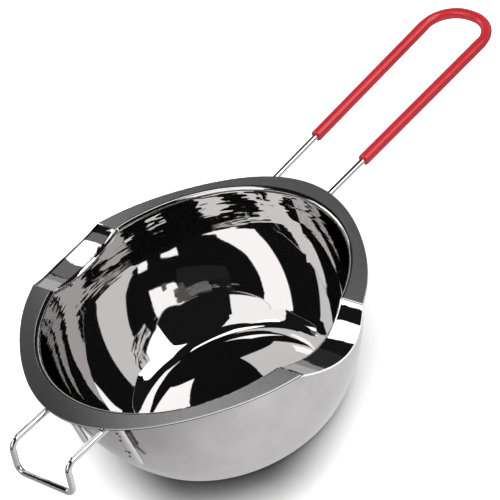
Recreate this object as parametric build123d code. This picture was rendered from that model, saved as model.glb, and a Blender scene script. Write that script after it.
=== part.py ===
from build123d import *
import os
from math import asin, cos, hypot, pi, sin, sqrt, tan

# Candle wax melter: a small double boiler bowl of pressed stainless steel sheet, with a long
# wire handle in a silicone sleeve and a short bent wire hook that rests on a pot's rim.
# Millimetres. The origin is the middle of the flat base, on the table; +X points along the
# handle and +Z up. The two pouring spouts lie at +Y and -Y.

# ---- pressed bowl ----
SHEET = 0.8  # thickness of the stainless sheet
HEIGHT = 57.0  # table to the top of the flange
MOUTH_RADIUS = 61.2  # inside of the wall at the top
UPRIGHT_BELOW_SPOUTS = 2.8  # the wall stays upright this far below the spouts, then curves in
WALL_CURVE = 72.0  # radius of the long curve of the wall, seen in section
BASE_CORNER = 13.0  # radius of the outer corner between the wall and the flat base
FLANGE_BEND_RADIUS = 0.9  # on the underside, where the sheet turns out of the wall

# ---- flange: its width varies round the rim, because pressing the spouts draws the sheet in ----
FLANGE_AT_HANDLE = 8.1
FLANGE_AT_HOOK = 10.1
FLANGE_AT_DIAGONAL = 7.0
FLANGE_AT_SPOUT = 12.1
OUTLINE_POINTS = 64

# ---- pouring spouts ----
SPOUT_HALF_WIDTH = 19.3  # from the middle of the spout to the crease at its side
SPOUT_DEPTH = 5.2  # how far the middle of the trough lies below the flange
SPOUT_LIP = 2.0  # the lip reaches this much further out at the middle of the spout

# ---- wires ----
WIRE = 2.5  # diameter
WIRE_BEND_RADIUS = 4.0  # of the centreline, where a wire turns down the wall
WIRE_GAP = 0.05  # between a wire and the steel that it lies on
LEG_CONTACT = 14.0  # from the top of the flange to where a leg touches the wall
LEG_DEPTH = 26.5  # from the top of the flange to the end of a leg

# ---- handle ----
HANDLE_HALF_WIDTH = 14.4  # from the handle's middle to a wire's centre, at the bowl
LOOP_HALF_WIDTH = 14.2  # the same at the loop
LOOP_REACH = 115.7  # edge of the flange to the wire's centre at the far end of the loop
LOOP_ROUND = 13.4  # centreline radius of each quarter of the loop
LOOP_DROP = 1.4  # the loop lies this much lower than the wires under the flange
LOOP_TWIST = 2.0  # one side of the hand bent loop is this much higher, the other as much lower

# ---- silicone sleeve on the handle ----
SLEEVE_START = 23.5  # edge of the flange to the open ends, on average
SLEEVE_SLIP = 2.8  # how far the sleeve was pushed round the loop from its middle
SLEEVE_ARM = 4.8  # outer diameter on the straight arms
SLEEVE_LOOP = 4.5  # outer diameter round the loop, where the silicone is drawn thinner
SLEEVE_CLEARANCE = 0.05  # between the wire and the sleeve's bore
SLEEVE_EDGE = 0.6  # rounding of the open ends

# ---- rest hook ----
HOOK_HALF_WIDTH = 14.8
HOOK_REACH = 16.7  # edge of the flange to the bend where the hook turns down
HOOK_RISE = 1.1  # the arms climb this much from the edge of the flange to the bend
HOOK_FOOT_REACH = 19.2  # edge of the flange to the crossbar
HOOK_DROP = 12.2  # from the arms' outer end down to the crossbar
HOOK_BEND_RADIUS = 4.0
HOOK_FOOT_RADIUS = 3.6

# ---- weld beads on both sides of each leg ----
BEAD_RADIUS = 0.8
BEAD_LENGTH = 9.0
BEAD_BITE = 0.45  # how far a bead reaches into the wire and into the wall

SAME_PLACE = 0.001  # two places that lie nearer than this are one

wall_outer = MOUTH_RADIUS + SHEET
curve_top = HEIGHT - SPOUT_DEPTH - UPRIGHT_BELOW_SPOUTS
curve_centre = wall_outer - WALL_CURVE
under_flange = HEIGHT - SHEET
wire_level = under_flange - WIRE_GAP - WIRE / 2
blank_radius = wall_outer + FLANGE_AT_SPOUT + SPOUT_LIP + SHEET

# Distances from the bowl's centre.
edge_at_handle = MOUTH_RADIUS + FLANGE_AT_HANDLE
edge_at_hook = MOUTH_RADIUS + FLANGE_AT_HOOK
loop_end = edge_at_handle + LOOP_REACH
sleeve_end = edge_at_handle + SLEEVE_START
hook_bend = edge_at_hook + HOOK_REACH
hook_foot = edge_at_hook + HOOK_FOOT_REACH


def outline_radius(angle):
    """Radius of the rim's outer edge: widest over the spouts, narrowest on the diagonals."""
    ends = (FLANGE_AT_HANDLE + FLANGE_AT_HOOK) / 2
    mean = (ends + FLANGE_AT_SPOUT + 2 * FLANGE_AT_DIAGONAL) / 4
    lean = (FLANGE_AT_HANDLE - FLANGE_AT_HOOK) / 2
    oval = (ends - FLANGE_AT_SPOUT) / 2
    square = (ends + FLANGE_AT_SPOUT - 2 * FLANGE_AT_DIAGONAL) / 4
    width = mean + lean * cos(angle) + oval * cos(2 * angle) + square * cos(4 * angle)
    from_spout = min(abs(MOUTH_RADIUS * cos(angle)) / SPOUT_HALF_WIDTH, 1)
    return MOUTH_RADIUS + width + SPOUT_LIP * (1 + cos(pi * from_spout)) / 2


def filled_form(inset, top):
    """The bowl filled up to the height top, with its skin moved inwards by inset."""
    curve = WALL_CURVE - inset
    corner = curve_centre + sqrt(curve**2 - (curve_top - inset) ** 2)
    half_turn = asin((curve_top - inset) / curve) / 2
    on_curve = (curve_centre + curve * cos(half_turn), curve_top - curve * sin(half_turn))
    wall = wall_outer - inset
    floor = Line((0, inset), (corner, inset))
    side = ThreePointArc((corner, inset), on_curve, (wall, curve_top))
    rest = Polyline((wall, curve_top), (wall, top), (0, top), (0, inset))
    section = make_face(Plane.XZ * (floor + side + rest))
    low_corner = section.vertices().sort_by_distance((corner, 0, inset))[0]
    return revolve(fillet(low_corner, BASE_CORNER - inset), Axis.Z)


def rim_prism():
    """The rim's outline, reaching past the base and the flange."""
    angles = [2 * pi * step / OUTLINE_POINTS for step in range(OUTLINE_POINTS)]
    points = [(outline_radius(a) * cos(a), outline_radius(a) * sin(a)) for a in angles]
    return Pos(0, 0, -SHEET) * extrude(make_face(Spline(*points, periodic=True)), HEIGHT + 3 * SHEET)


def disc(radius, low, high):
    return Pos(0, 0, (low + high) / 2) * Cylinder(radius, high - low)


def above_sheet(inset):
    """All the space above one surface of the sheet: the lower one, or the upper with inset SHEET."""
    level = under_flange + inset
    top = HEIGHT + SHEET + inset
    radius = blank_radius + inset

    # A trough of round section across the whole blank presses both spouts down at once.
    trough = (SPOUT_HALF_WIDTH**2 + SPOUT_DEPTH**2) / (2 * SPOUT_DEPTH)
    axis = Pos(0, 0, HEIGHT - SPOUT_DEPTH + trough) * Rot(90, 0, 0)
    barrel = axis * Cylinder(trough + SHEET - inset, 3 * blank_radius)
    blank = disc(radius, level, top) + (barrel & disc(radius, 0, top))
    blank = fillet(blank.edges().filter_by(Axis.Y), FLANGE_BEND_RADIUS + inset)

    space = blank + filled_form(inset, level + SHEET)
    round_wall = [
        edge
        for edge in space.edges().filter_by(GeomType.LINE, reverse=True)
        if abs(hypot((edge @ 0.5).X, (edge @ 0.5).Y) - wall_outer + inset) < SAME_PLACE
        and (edge @ 0.5).Z > level - SPOUT_DEPTH - SAME_PLACE
    ]
    return fillet(round_wall, FLANGE_BEND_RADIUS + inset)


def make_bowl():
    """One sheet thick all over: drawn, flanged, its spouts pressed down and its rim cut."""
    return (above_sheet(0) - above_sheet(SHEET)) & rim_prism()


def leg(half_width, side_x, climb=0):
    """Upper corner, contact point and lower end of a wire's leg, which leans on the wall.

    The arm above it rises outwards by climb per millimetre. An arm that rises touches the flange
    at its edge, and so starts a little lower than one that touches it beside the wall.
    """
    reach = WALL_CURVE + WIRE_GAP + WIRE / 2
    lean = asin((LEG_CONTACT - HEIGHT + curve_top) / WALL_CURVE)
    radius = curve_centre + reach * cos(lean)
    contact_z = curve_top - reach * sin(lean)
    contact_x = sqrt(radius**2 - half_width**2)
    slope = tan(lean) * radius / contact_x
    flange_edge = edge_at_handle if side_x > 0 else edge_at_hook
    top = wire_level - max(climb, 0) * (flange_edge - contact_x)
    return [
        Vector(side_x * (contact_x + slope * (z - contact_z)), half_width, z)
        for z in (top, contact_z, HEIGHT - LEG_DEPTH)
    ]


def mirrored(points):
    """The same points on the other side of the part's middle plane, in reverse order."""
    return [Vector(p.X, -p.Y, p.Z) for p in reversed(points)]


def rod(path, diameter):
    return sweep(Plane(origin=path @ 0, z_dir=path % 0) * Circle(diameter / 2), path=path)


def handle_side(side):
    """Lower end, bend under the flange and loop corner of one side of the handle wire."""
    rise = side * LOOP_TWIST - LOOP_DROP
    bend, _, end = leg(HANDLE_HALF_WIDTH, 1, rise / LOOP_REACH)
    loop_corner = Vector(loop_end, LOOP_HALF_WIDTH, wire_level + rise)
    points = [end, bend, loop_corner]
    return points if side > 0 else mirrored(points)


def make_handle_wire():
    bends = [WIRE_BEND_RADIUS, LOOP_ROUND, LOOP_ROUND, WIRE_BEND_RADIUS]
    return rod(FilletPolyline(*handle_side(1), *handle_side(-1), radius=bends), WIRE)


def on_arm(side, x):
    """The point of a straight handle arm at the distance x from the bowl's centre."""
    _, bend, loop_corner = handle_side(side)[::side]
    return bend + (loop_corner - bend) * ((x - bend.X) / (loop_corner.X - bend.X))


def loop_path(starts):
    """The handle's centreline round the loop, from a distance along one arm to one on the other."""
    corners = handle_side(1)[-1], handle_side(-1)[0]
    ends = on_arm(1, starts[0]), on_arm(-1, starts[1])
    return FilletPolyline(ends[0], *corners, ends[1], radius=[LOOP_ROUND, LOOP_ROUND])


def make_grip_sleeve():
    starts = [sleeve_end + SLEEVE_SLIP, sleeve_end - SLEEVE_SLIP]
    shoulder = loop_end - LOOP_ROUND
    arms = []
    for side, start in zip((1, -1), starts):
        open_end = on_arm(side, start)
        arm = rod(Line(open_end, on_arm(side, shoulder)), SLEEVE_ARM)
        rim = arm.edges().filter_by(GeomType.CIRCLE).sort_by_distance(open_end)[0]
        arms.append(fillet(rim, SLEEVE_EDGE))
    loop = rod(loop_path([shoulder - SLEEVE_ARM] * 2), SLEEVE_LOOP)
    bore = rod(loop_path([start - WIRE for start in starts]), WIRE + 2 * SLEEVE_CLEARANCE)
    return arms[0] + loop + arms[1] - bore


def make_rest_hook():
    bend, _, end = leg(HOOK_HALF_WIDTH, -1, HOOK_RISE / HOOK_REACH)
    outer = Vector(-hook_bend, HOOK_HALF_WIDTH, wire_level + HOOK_RISE)
    foot = Vector(-hook_foot, HOOK_HALF_WIDTH, outer.Z - HOOK_DROP)
    arm = [end, bend, outer, foot]
    bends = [WIRE_BEND_RADIUS, HOOK_BEND_RADIUS, HOOK_FOOT_RADIUS]
    return rod(FilletPolyline(*arm, *mirrored(arm), radius=bends + bends[::-1]), WIRE)


def make_welds(half_width, side_x, bowl, wire):
    """Round ended weld beads in the corners between the wall and each leg, cut to fit both."""
    _, contact, end = leg(half_width, side_x)
    along = (end - contact).normalized()
    outward = Vector(contact.X, contact.Y, 0).normalized()
    sideways = along.cross(outward).normalized()
    outward = sideways.cross(along)
    # Seen along the leg: the wall is WIRE / 2 + WIRE_GAP behind the wire's centre.
    behind = WIRE / 2 + WIRE_GAP - (BEAD_RADIUS - BEAD_BITE)
    reach = WIRE / 2 + BEAD_RADIUS - BEAD_BITE
    beside = sqrt(reach**2 - behind**2)
    half_run = along * (BEAD_LENGTH / 2 - BEAD_RADIUS)
    beads = []
    for side in (1, -1):
        middle = contact + sideways * side * beside - outward * behind
        bead = rod(Line(middle - half_run, middle + half_run), 2 * BEAD_RADIUS)
        for tip in (middle - half_run, middle + half_run):
            bead += Pos(tip) * Sphere(BEAD_RADIUS)
        beads += (bead - bowl - wire).solids()
    return Compound(beads + [bead.mirror(Plane.XZ) for bead in beads])


bowl = make_bowl()
handle_wire = make_handle_wire()
rest_hook = make_rest_hook()
parts = {
    "bowl": bowl,
    "handle_wire": handle_wire,
    "grip_sleeve": make_grip_sleeve(),
    "rest_hook": rest_hook,
    "handle_welds": make_welds(HANDLE_HALF_WIDTH, 1, bowl, handle_wire),
    "hook_welds": make_welds(HOOK_HALF_WIDTH, -1, bowl, rest_hook),
}

os.makedirs("parts", exist_ok=True)
for name, shape in parts.items():
    export_step(shape, f"parts/{name}.step")
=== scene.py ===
from math import cos, pi, radians, sin

import bmesh
import bpy
from mathutils import Matrix, Vector


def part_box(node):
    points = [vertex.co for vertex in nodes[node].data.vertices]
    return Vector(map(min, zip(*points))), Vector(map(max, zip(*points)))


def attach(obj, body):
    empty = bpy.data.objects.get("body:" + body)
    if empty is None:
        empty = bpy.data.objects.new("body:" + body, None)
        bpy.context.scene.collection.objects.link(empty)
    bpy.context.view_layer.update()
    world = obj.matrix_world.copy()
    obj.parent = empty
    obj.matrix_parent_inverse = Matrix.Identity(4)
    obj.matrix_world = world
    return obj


# The looks of a candle wax melter: a pressed steel bowl, mirror bright inside, with a sleeved wire
# handle along +X and a wire hook opposite it. Metres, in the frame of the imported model.

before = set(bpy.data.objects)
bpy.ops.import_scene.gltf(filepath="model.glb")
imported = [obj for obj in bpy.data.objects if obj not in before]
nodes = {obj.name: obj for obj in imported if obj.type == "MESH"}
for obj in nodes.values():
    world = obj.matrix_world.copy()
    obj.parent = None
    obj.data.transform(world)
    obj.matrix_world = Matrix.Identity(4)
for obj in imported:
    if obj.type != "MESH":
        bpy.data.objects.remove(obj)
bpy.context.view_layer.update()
scene = bpy.context.scene


def grey(level):
    return (level, level, level, 1)


# A pair for step() holds the value at which a mask is 0, then the one at which it is 1.
# A pair of colours or of roughnesses is mixed by noise. A noise is its scale per metre, its detail
# and, where that isn't 0.5, its roughness.

# ---- camera: a long lens that looks down from beyond the hook, on the side of -Y ----
VIEW_HEADING = radians(53.507)  # from +X towards +Y
VIEW_TILT = radians(36.504)  # downwards
VIEW_ROLL = radians(22.25)
EYE_FROM_RIM = Vector((-0.37107, -0.54646, 0.49714))  # from the middle of the flange's top
SENSOR = 36.0  # millimetres, as wide as the frame
FRAME_PIXELS = 500
LENS_PIXELS = 2200  # the lens's focal length, in pixels of the frame

# ---- lights ----
PLAIN_LIGHT = 0.50  # the world's light on matt surfaces
WHITE = 1.0  # the world to the camera and in reflections
KEY_LIGHT = 1.75
KEY_HEADING = radians(-128)
KEY_HEIGHT = radians(58)
KEY_SPREAD = radians(50)

# ---- floor: places across the view are metres to the right of the origin ----
FLOOR_HALF = 6.0
FLOOR_ROUGHNESS = 0.9
FLOOR_BOUNCE = 0.38  # the floor's colour in the light that it gives to matt surfaces
FLOOR_MIRRORED = 0.45  # its colour in reflections
FLOOR_SEEN = 1.8  # its colour to the camera: white, apart from the darkest shadow
FLOOR_PAINTED_SHADOW = 0.22  # its colour to the camera close to the bowl's foot: a painted contact shadow
PAINTED_SHADOW_REACH = 0.042  # how far the floor looks for the bowl above it, for the painted shadow
PAINTED_SHADOW_OPENNESS = (0.97, 0.3)  # the painted shadow begins and is full at this share of open sky
PAINTED_SHADOW_LEFT = (-0.072, -0.03)  # across the view, the painted shadow shows between these two pairs
PAINTED_SHADOW_RIGHT = (0.05, 0.0)
FLOOR_GLOW = (0.04, 0.60)  # its glow in reflections, left and right of the object
GLOW_GROWS = (-0.13, 0.03)  # across the view, from the left glow to the right one
GLOW_ENDS = (0.19, 0.14)

# ---- cards, which show in reflections alone ----
ORIGIN = Vector((0, 0, 0))
CARD_COLUMNS, CARD_ROWS = 24, 12
CARD_DISTANCE = 3.0
DOME_RADIUS = 3.2
SPOUT_LIGHT_DISTANCE = 0.15
SPOUT_SHADE_DISTANCE = 0.16  # behind the lights
OTHER_SPOUT_LIGHT_DISTANCE = 0.3
LEFT_GLOW = 1.42  # of the left softbox and the strip below it
RIGHT_GLOW = 2.5  # of the right softbox, the window and the lights close to the spouts
SPOUT_FAR_GLOW = 0.22
SPOUT_NEAR_GLOW = 0.21
FAR_FLOOR_GLOW = 0.6
FAR_WALL_FOOT_GLOW = 0.36
FAR_WALL_GLOW = 0.035
HORIZON_GLOW = 0.02
DOME_GLOW = 0.012

# Each softbox has four edges, from low to high. Each edge has two ends, and an end is a pair of
# degrees: left of the view's heading, and above the floor.
LEFT_SOFTBOX = (
    ((153, 24), (104, 26)),
    ((155, 43), (93, 43)),
    ((155, 58), (72, 58)),
    ((155, 72), (80, 72)),
)
RIGHT_SOFTBOX = (
    ((-142, 19), (-98, 19)),
    ((-140, 38), (-94, 38)),
    ((-136, 57), (-70, 57)),
    ((-134, 72), (-80, 72)),
)

# ---- bowl: where each finish lies ----
FLANGE_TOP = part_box("bowl")[1].z
BOWL_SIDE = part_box("bowl")[1].y  # the lip of the spout at +Y
FLANGE_INNER = 0.0629  # radius at which the flange turns into the wall
POLISH_FADE = 0.0003  # on both sides of that radius, the satin turns into polish
UPPER_SIDE = 0.25  # on the sheet's upper side the normal rises more than this
INNER_SIDE = -0.004  # on the wall's inner side the level place, times the normal, is below this
CUT_EDGE_SIDE = FLANGE_INNER  # and on the flange's cut edge it is above this
SPOUT_DIP = 0.0002  # upper side further below the flange's top is polished: the spouts, the inside
SPOUT = Vector((0.008, 0.068, 0.053))  # a place in the trough of the spout at +Y
OTHER_SPOUT = Vector((0.008, -0.069, 0.053))
PAINTED_SHADE_SIDE = (-0.80, 0.60, 0)  # painted shade: the flange is painted darker between the hook and the spout at +Y
PAINTED_SHADE_PLACE = (0.015, 0.065)  # how far towards that side the painted shade begins and is full

# ---- bowl: thin lines of painted shade ----
EDGE_SHADE_STARTS = (0.0004, 0.0005)  # painted shadow line on the flange's cut edge, below its top
EDGE_SHADE_ENDS = (0.0009, 0.0008)
LIP_BULGE = 16.0  # per metre: a spout's lip falls back by this times X squared
LIP_SHADE = (0.0017, 0.0014)  # painted shade line, from the lip of the spout at +Y
LIP_SHADE_FALL = 0.0062  # that painted line ends where the lip has fallen back this far

# ---- bowl: finishes ----
MIRROR_COLOUR = (0.61, 0.60, 0.597, 1)
# painted highlight: the cut edge is the same steel, painted nearly white so that it shows as a bright line
CUT_EDGE_HIGHLIGHT_COLOUR = grey(0.95)
# the colour of the painted shade lines
PAINTED_SHADE_LINE_COLOUR = grey(0.05)
SATIN_COLOURS = (grey(0.28), grey(0.85))
# painted shade on that side of the flange, mixed by grain
PAINTED_SHADE_COLOURS = (grey(0.04), grey(0.16))
OUTSIDE_COLOURS = ((0.42, 0.385, 0.39, 1), (0.62, 0.62, 0.635, 1))
MIRROR_ROUGHNESS = 0.03
SATIN_ROUGHNESS = (0.36, 0.46)
OUTSIDE_ROUGHNESS = (0.08, 0.15)
BOWL_GRAIN = (1900.0, 3.0, 0.7)
BOWL_PATCHES = (45.0, 3.0, 0.6)

# ---- bowl: dents in the sheet ----
WAVES = (38.0, 1.0)
RIPPLES = (115.0, 2.0)
RIDGES = (70.0, 1.0)
RIDGE_SQUEEZE = (1, 1, 6)  # ridges are long and level
WAVE_HEIGHT = 5e-5
RIPPLE_HEIGHT = 6e-5
RIDGE_HEIGHT = 8e-5
NEAR_RIM = (0.030, 0.050)  # ripples and ridges grow with height above the floor

# ---- wires ----
WIRE_COLOUR = (0.70, 0.695, 0.69, 1)
WIRE_ROUGHNESS = (0.02, 0.06)
WIRE_GRAIN = (900.0, 2.0)

# ---- welds ----
WELD_COLOURS = ((0.04, 0.035, 0.03, 1), (0.26, 0.25, 0.24, 1))
WELD_ROUGHNESS = (0.25, 0.5)
WELD_GRAIN = (1400.0, 3.0)

# ---- drops of weld metal on the wall: place along Y, height, radius ----
SPATTER = (
    (-0.0098, 0.0444, 0.00064), (-0.0106, 0.0430, 0.00060), (-0.0094, 0.0403, 0.00066),
    (-0.0079, 0.0331, 0.00058), (-0.0091, 0.0326, 0.00070), (-0.0070, 0.0290, 0.00060),
)
SPATTER_START = -0.1  # along X, beyond the wall on the hook's side
DROP_SHAPE = (1.0, 0.8, 0.5)  # shares of that radius: along the wall, up it and off it

# ---- sleeve ----
SLEEVE_COLOURS = ((0.56, 0.012, 0.022, 1), (0.70, 0.024, 0.038, 1))
SLEEVE_ROUGHNESS = (0.18, 0.28)
EDGE_ON_ROUGHNESS = 0.75  # seen edge on, silicone mirrors less sharply
EDGE_ON = (0.25, 0.7)
SLEEVE_SPECULAR = 0.7
SLEEVE_GRAIN = (1800.0, 3.0)
SLEEVE_CLOUDS = (60.0, 2.0)


class Nodes:
    """The nodes of a material or of the world, with short calls for the few kinds used here."""

    def __init__(self, tree):
        self.tree = tree

    def node(self, kind, inputs=None, **settings):
        made = self.tree.nodes.new(kind)
        for name, value in settings.items():
            setattr(made, name, value)
        for name, value in (inputs or {}).items():
            self.put(made.inputs[name], value)
        return made

    def put(self, socket, value):
        if isinstance(value, bpy.types.NodeSocket):
            self.tree.links.new(value, socket)
        else:
            socket.default_value = value

    def math(self, operation, a, b, clamp=False):
        made = self.node("ShaderNodeMath", {0: a, 1: b}, operation=operation, use_clamp=clamp)
        return made.outputs[0]

    def times(self, a, b):
        return self.math("MULTIPLY", a, b)

    def either(self, a, b):
        """The larger of two masks."""
        return self.math("MAXIMUM", a, b)

    def dot(self, a, b):
        made = self.node("ShaderNodeVectorMath", {0: a, 1: b}, operation="DOT_PRODUCT")
        return made.outputs["Value"]

    def step(self, value, zero, one):
        """0 up to one end, 1 from the other end on, smooth between. Either end may be the higher."""
        made = self.node(
            "ShaderNodeMapRange",
            {"Value": value, "From Min": zero, "From Max": one},
            interpolation_type="SMOOTHSTEP",
        )
        return made.outputs["Result"]

    def between(self, factor, a, b):
        """A number that goes from a to b."""
        made = self.node("ShaderNodeMix", {0: factor, 2: a, 3: b}, data_type="FLOAT")
        return made.outputs[0]

    def blend(self, factor, a, b):
        """A colour that goes from a to b."""
        made = self.node("ShaderNodeMix", {0: factor, 6: a, 7: b}, data_type="RGBA")
        return made.outputs[2]

    def noise(self, vector, scale, detail, roughness=0.5):
        made = self.node(
            "ShaderNodeTexNoise",
            {"Vector": vector, "Scale": scale, "Detail": detail, "Roughness": roughness},
        )
        return made.outputs[0]

    def place(self):
        """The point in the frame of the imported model."""
        return self.node("ShaderNodeTexCoord").outputs["Object"]

    def seen_directly(self):
        """1 for camera, mirror and glass rays before any matt bounce, 0 for all others."""
        path = self.node("ShaderNodeLightPath").outputs
        camera_or_mirror = self.either(path["Is Camera Ray"], path["Is Glossy Ray"])
        direct = self.either(camera_or_mirror, path["Is Transmission Ray"])
        return self.math("SUBTRACT", direct, path["Diffuse Depth"], clamp=True)


class Shader(Nodes):
    """One material."""

    def __init__(self, name):
        self.material = bpy.data.materials.new(name)
        self.material.use_nodes = True
        super().__init__(self.material.node_tree)
        self.surface = self.tree.nodes["Principled BSDF"]

    def set(self, **values):
        """Fills the surface's sockets, whose names have _ here in place of a space."""
        for name, value in values.items():
            self.put(self.surface.inputs[name.replace("_", " ")], value)


def bowl_steel():
    """Mirror polish inside and in the spouts, satin on the flange with painted shade on one side, a duller
    shine outside, thin lines of painted shade and a painted highlight on the cut edge.
    """
    shader = Shader("bowl_steel")
    coords = shader.node("ShaderNodeTexCoord").outputs
    spot, normal = coords["Object"], coords["Normal"]
    x, y, z = shader.node("ShaderNodeSeparateXYZ", {0: spot}).outputs
    rise = shader.node("ShaderNodeSeparateXYZ", {0: normal}).outputs["Z"]
    flat_place = shader.node("ShaderNodeCombineXYZ", {0: x, 1: y}).outputs[0]
    radius = shader.node("ShaderNodeVectorMath", {0: flat_place}, operation="LENGTH").outputs["Value"]
    outward = shader.dot(flat_place, normal)

    upper_side = shader.math("GREATER_THAN", rise, UPPER_SIDE)
    wall_inside = shader.math("LESS_THAN", outward, INNER_SIDE)
    within_flange = shader.step(radius, FLANGE_INNER + POLISH_FADE, FLANGE_INNER - POLISH_FADE)
    below_flange = shader.math("LESS_THAN", z, FLANGE_TOP - SPOUT_DIP)
    cut_edge = shader.math("GREATER_THAN", outward, CUT_EDGE_SIDE)
    hollow = shader.times(upper_side, shader.either(within_flange, below_flange))
    bright = shader.either(shader.either(wall_inside, hollow), cut_edge)
    satin = shader.math("SUBTRACT", upper_side, bright, clamp=True)

    # painted shade: thin dark lines under the flange's cut edge and just inside the spout's lip
    edge_shade = shader.times(edge_shade_height(shader, z), cut_edge)
    lip_shade = shader.times(lip_shade_place(shader, x, y), below_flange)
    painted_shade_lines = shader.either(edge_shade, lip_shade)

    grain = shader.noise(spot, *BOWL_GRAIN)
    patches = shader.noise(spot, *BOWL_PATCHES)
    # painted shade: the satin is painted darker towards the side between the hook and the spout at +Y
    painted_shade = shader.step(shader.dot(flat_place, PAINTED_SHADE_SIDE), *PAINTED_SHADE_PLACE)
    plain_satin = shader.blend(grain, *SATIN_COLOURS)
    satin_colour = shader.blend(painted_shade, plain_satin, shader.blend(grain, *PAINTED_SHADE_COLOURS))
    colour = shader.blend(satin, shader.blend(patches, *OUTSIDE_COLOURS), satin_colour)
    # mirror polish inside, with a painted highlight on the cut edge
    colour = shader.blend(bright, colour, shader.blend(cut_edge, MIRROR_COLOUR, CUT_EDGE_HIGHLIGHT_COLOUR))

    outside_roughness = shader.between(grain, *OUTSIDE_ROUGHNESS)
    roughness = shader.between(satin, outside_roughness, shader.between(grain, *SATIN_ROUGHNESS))
    shader.set(
        Metallic=1.0,
        Base_Color=shader.blend(painted_shade_lines, colour, PAINTED_SHADE_LINE_COLOUR),
        Roughness=shader.between(bright, roughness, MIRROR_ROUGHNESS),
        Normal=bowl_dents(shader, spot, z),
    )
    return shader.material


def edge_shade_height(shader, z):
    """1 between the two heights of the painted shadow line on the flange's cut edge."""
    below_top = shader.math("SUBTRACT", FLANGE_TOP, z)
    return shader.times(shader.step(below_top, *EDGE_SHADE_STARTS), shader.step(below_top, *EDGE_SHADE_ENDS))


def lip_shade_place(shader, x, y):
    """1 for the painted shade line close to the lip of the spout at +Y, seen from above, but not round its
    corners.
    """
    fall = shader.times(shader.times(x, x), LIP_BULGE)
    from_lip = shader.math("SUBTRACT", shader.math("SUBTRACT", BOWL_SIDE, fall), y)
    along_lip = shader.math("LESS_THAN", fall, LIP_SHADE_FALL)
    return shader.times(shader.step(from_lip, *LIP_SHADE), along_lip)


def bowl_dents(shader, spot, z):
    """Waves all over the sheet, and ripples and level ridges that grow towards the rim."""
    near_rim = shader.step(z, *NEAR_RIM)
    squeezed = shader.node("ShaderNodeVectorMath", {0: spot, 1: RIDGE_SQUEEZE}, operation="MULTIPLY")
    ripples = shader.times(shader.noise(spot, *RIPPLES), shader.times(near_rim, RIPPLE_HEIGHT))
    ridges = shader.times(shader.noise(squeezed.outputs[0], *RIDGES), shader.times(near_rim, RIDGE_HEIGHT))
    waves = shader.times(shader.noise(spot, *WAVES), WAVE_HEIGHT)
    height = shader.math("ADD", waves, shader.math("ADD", ripples, ridges))
    return shader.node("ShaderNodeBump", {"Strength": 1.0, "Distance": 1.0, "Height": height}).outputs[0]


def wire_steel():
    """Polished wire."""
    shader = Shader("wire_steel")
    grain = shader.noise(shader.place(), *WIRE_GRAIN)
    shader.set(
        Metallic=1.0,
        Base_Color=WIRE_COLOUR,
        Roughness=shader.between(grain, *WIRE_ROUGHNESS),
    )
    return shader.material


def weld_steel():
    """Dark, uneven weld metal."""
    shader = Shader("weld_steel")
    grain = shader.noise(shader.place(), *WELD_GRAIN)
    shader.set(
        Metallic=1.0,
        Base_Color=shader.blend(grain, *WELD_COLOURS),
        Roughness=shader.between(grain, *WELD_ROUGHNESS),
    )
    return shader.material


def silicone():
    """Red silicone with a soft shine."""
    shader = Shader("red_silicone")
    spot = shader.place()
    grain = shader.noise(spot, *SLEEVE_GRAIN)
    clouds = shader.noise(spot, *SLEEVE_CLOUDS)
    edge_on = shader.step(shader.node("ShaderNodeLayerWeight").outputs["Facing"], *EDGE_ON)
    shader.set(
        Base_Color=shader.blend(clouds, *SLEEVE_COLOURS),
        Roughness=shader.between(edge_on, shader.between(grain, *SLEEVE_ROUGHNESS), EDGE_ON_ROUGHNESS),
        Specular_IOR_Level=SLEEVE_SPECULAR,
    )
    return shader.material


def put_on(node, material):
    """The whole of a CAD node gets this material."""
    data = nodes[node].data
    data.materials.clear()
    data.materials.append(material)
    for face in data.polygons:
        face.material_index = 0


def make_weld_spatter():
    """Drops of weld metal that froze on the wall beside a leg of the hook."""
    mesh = bmesh.new()
    for aside, height, size in SPATTER:
        start = Vector((SPATTER_START, aside, height))
        _, place, normal, _ = nodes["bowl"].ray_cast(start, Vector((1, 0, 0)))
        turn = normal.to_track_quat("Z", "Y").to_matrix().to_4x4()
        radii = Matrix.Diagonal([size * share for share in DROP_SHAPE] + [1])
        drop = Matrix.Translation(place) @ turn @ radii
        bmesh.ops.create_icosphere(mesh, subdivisions=2, radius=1, matrix=drop)
    data = bpy.data.meshes.new("weld_spatter")
    mesh.to_mesh(data)
    mesh.free()
    for face in data.polygons:
        face.use_smooth = True
    spatter = bpy.data.objects.new("weld_spatter", data)
    scene.collection.objects.link(spatter)
    data.materials.append(nodes["hook_welds"].data.materials[0])
    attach(spatter, "root")


def direction(heading, height):
    """A unit vector by its angle from +X towards +Y and its angle above the floor."""
    return Vector((cos(heading) * cos(height), sin(heading) * cos(height), sin(height)))


def make_world():
    """White to the camera and in reflections, and a plain light on matt surfaces."""
    world = bpy.data.worlds.new("studio")
    scene.world = world
    world.use_nodes = True
    shader = Nodes(world.node_tree)
    background = world.node_tree.nodes["Background"].inputs
    shader.put(background["Color"], grey(1))
    shader.put(background["Strength"], shader.between(shader.seen_directly(), PLAIN_LIGHT, WHITE))


def make_key_light():
    """A broad light for matt surfaces and the shadow. Reflections show the cards in its place."""
    data = bpy.data.lights.new("key", "SUN")
    data.energy = KEY_LIGHT
    data.angle = KEY_SPREAD
    key = bpy.data.objects.new("key", data)
    scene.collection.objects.link(key)
    key.rotation_euler = direction(KEY_HEADING, KEY_HEIGHT).to_track_quat("Z", "Y").to_euler()
    key.visible_glossy = False


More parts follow.
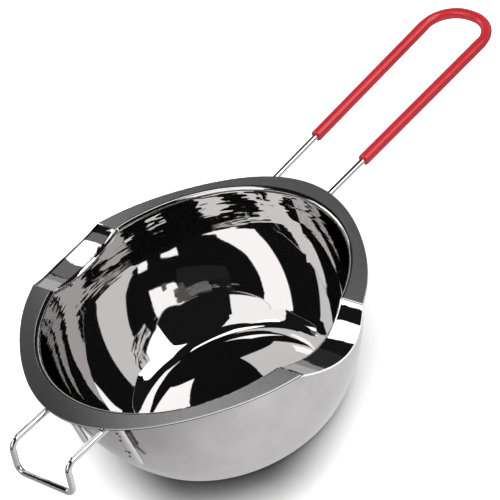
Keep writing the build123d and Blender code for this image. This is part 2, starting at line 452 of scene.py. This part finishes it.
def floor_shader():
    """White to the camera with a soft shadow, partly cast by the key and partly painted beside the bowl's
    foot, grey to matt surfaces, part of it glows in reflections.
    """
    shader = Shader("floor")
    in_view = shader.node("ShaderNodeLightPath").outputs["Is Camera Ray"]
    mirrored = shader.math("SUBTRACT", shader.seen_directly(), in_view)
    across = shader.dot(shader.place(), (sin(VIEW_HEADING), -cos(VIEW_HEADING), 0))

    glow = shader.between(shader.step(across, *GLOW_GROWS), *FLOOR_GLOW)
    glow = shader.times(glow, shader.step(across, *GLOW_ENDS))

    # painted shadow: the floor is painted darker where the bowl shuts out its sky, in a band across the
    # view
    nook = shader.node("ShaderNodeAmbientOcclusion", {"Distance": PAINTED_SHADOW_REACH})
    painted_shadow_band = shader.times(shader.step(across, *PAINTED_SHADOW_LEFT), shader.step(across, *PAINTED_SHADOW_RIGHT))
    painted_shadow = shader.times(shader.step(nook.outputs["AO"], *PAINTED_SHADOW_OPENNESS), painted_shadow_band)

    seen = shader.blend(painted_shadow, grey(FLOOR_SEEN), grey(FLOOR_PAINTED_SHADOW))
    unseen = shader.blend(mirrored, grey(FLOOR_BOUNCE), grey(FLOOR_MIRRORED))
    shader.set(
        Base_Color=shader.blend(in_view, unseen, seen),
        Roughness=FLOOR_ROUGHNESS,
        Specular_IOR_Level=0.0,
        Emission_Color=grey(1),
        Emission_Strength=shader.times(mirrored, glow),
    )
    return shader.material


def make_floor():
    """A square floor round the origin."""
    half = FLOOR_HALF
    data = bpy.data.meshes.new("floor")
    corners = [(-half, -half, 0), (half, -half, 0), (half, half, 0), (-half, half, 0)]
    data.from_pydata(corners, [], [(0, 1, 2, 3)])
    floor = bpy.data.objects.new("floor", data)
    scene.collection.objects.link(floor)
    data.materials.append(floor_shader())


def part_way(start, end, share):
    """The pair of numbers that lies this share of the way from one pair to another."""
    return [(1 - share) * a + share * b for a, b in zip(start, end)]


def make_card(name, glow, lower, upper, distance=CARD_DISTANCE, middle=ORIGIN):
    """A glowing or dark card that shows in reflections alone: a patch of a sphere round the middle.

    Its lower and upper edges have two ends each. An end is a pair of degrees: left of the view's
    heading, and above the floor.
    """
    points = []
    for row in range(CARD_ROWS + 1):
        for column in range(CARD_COLUMNS + 1):
            across = column / CARD_COLUMNS
            low, high = part_way(*lower, across), part_way(*upper, across)
            aside, height = part_way(low, high, row / CARD_ROWS)
            points.append(middle + distance * direction(VIEW_HEADING + radians(aside), radians(height)))
    faces = []
    for row in range(CARD_ROWS):
        for column in range(CARD_COLUMNS):
            first = row * (CARD_COLUMNS + 1) + column
            above = first + CARD_COLUMNS + 1
            faces.append((first, first + 1, above + 1, above))
    data = bpy.data.meshes.new(name)
    data.from_pydata(points, [], faces)
    card = bpy.data.objects.new(name, data)
    scene.collection.objects.link(card)
    shader = Shader(name)
    emission = shader.node("ShaderNodeEmission", {"Color": grey(1), "Strength": glow})
    shader.put(shader.tree.nodes["Material Output"].inputs["Surface"], emission.outputs[0])
    data.materials.append(shader.material)
    card.visible_camera = False
    card.visible_diffuse = False
    card.visible_shadow = False
    card.visible_transmission = False


def make_softbox(name, glow, edges):
    """Three cards that join, one above the other."""
    for part, lower, upper in zip(("low", "middle", "high"), edges, edges[1:]):
        make_card(f"{name}_{part}", glow, lower, upper)


def make_spout_cards():
    """Small lights and greys close to the spouts, for their troughs and the creases beside them."""
    near = (SPOUT_LIGHT_DISTANCE, SPOUT)
    other = (OTHER_SPOUT_LIGHT_DISTANCE, OTHER_SPOUT)
    shade = (SPOUT_SHADE_DISTANCE, SPOUT)
    make_card("left_spout_light", RIGHT_GLOW, ((33, 37), (8, 36)), ((33, 48), (8, 44)), *near)
    make_card("left_crease_light", RIGHT_GLOW, ((62, 38), (49, 38)), ((62, 48), (49, 48)), *near)
    make_card("right_spout_light", RIGHT_GLOW, ((33, 46), (10, 45)), ((33, 57), (10, 54)), *other)
    make_card("right_crease_light", RIGHT_GLOW, ((66, 43), (53, 43)), ((66, 54), (53, 54)), *other)
    make_card("left_spout_far", SPOUT_FAR_GLOW, ((44, 42), (30, 42)), ((44, 51), (30, 51)), *shade)
    make_card("left_spout_near", SPOUT_NEAR_GLOW, ((20, 22), (-6, 22)), ((20, 39), (-6, 39)), *shade)


def make_cards():
    """A dark studio with a softbox on each side, a window at the back left and a grey far floor."""
    make_card("dark_dome", DOME_GLOW, ((-180, 17), (180, 17)), ((-180, 90), (180, 90)), DOME_RADIUS)
    make_softbox("left_softbox", LEFT_GLOW, LEFT_SOFTBOX)
    make_card("left_strip", LEFT_GLOW, ((115, 21), (78, 18)), ((115, 25), (78, 21)))
    make_softbox("right_softbox", RIGHT_GLOW, RIGHT_SOFTBOX)
    make_card("window", RIGHT_GLOW, ((60, 15), (27, 14)), ((55, 36), (17, 30)))
    make_spout_cards()
    make_card("far_wall", FAR_WALL_GLOW, ((19, 20), (-56, 20)), ((7, 40), (-56, 31)))
    make_card("far_wall_foot", FAR_WALL_FOOT_GLOW, ((12, 13), (-26, 13)), ((12, 23), (-26, 23)))
    make_card("far_floor", FAR_FLOOR_GLOW, ((60, 0.5), (-60, 0.5)), ((60, 13), (-60, 13)))
    make_card("dark_horizon", HORIZON_GLOW, ((60, 0.5), (300, 0.5)), ((60, 13), (300, 13)))


def make_camera():
    data = bpy.data.cameras.new("camera")
    data.sensor_width = SENSOR
    data.lens = SENSOR * LENS_PIXELS / FRAME_PIXELS
    camera = bpy.data.objects.new("camera", data)
    scene.collection.objects.link(camera)
    eye = Matrix.Translation(Vector((0, 0, FLANGE_TOP)) + EYE_FROM_RIM)
    turn = Matrix.Rotation(VIEW_HEADING - pi / 2, 4, "Z")
    tilt = Matrix.Rotation(pi / 2 - VIEW_TILT, 4, "X")
    roll = Matrix.Rotation(-VIEW_ROLL, 4, "Z")
    camera.matrix_world = eye @ turn @ tilt @ roll
    scene.camera = camera


FINISHES = {
    "bowl": bowl_steel,
    "handle_wire": wire_steel,
    "rest_hook": wire_steel,
    "handle_welds": weld_steel,
    "hook_welds": weld_steel,
    "grip_sleeve": silicone,
}
for node, finish in FINISHES.items():
    put_on(node, finish())
make_weld_spatter()

make_world()
make_key_light()
make_floor()
make_cards()
make_camera()
scene.view_settings.view_transform = "Standard"
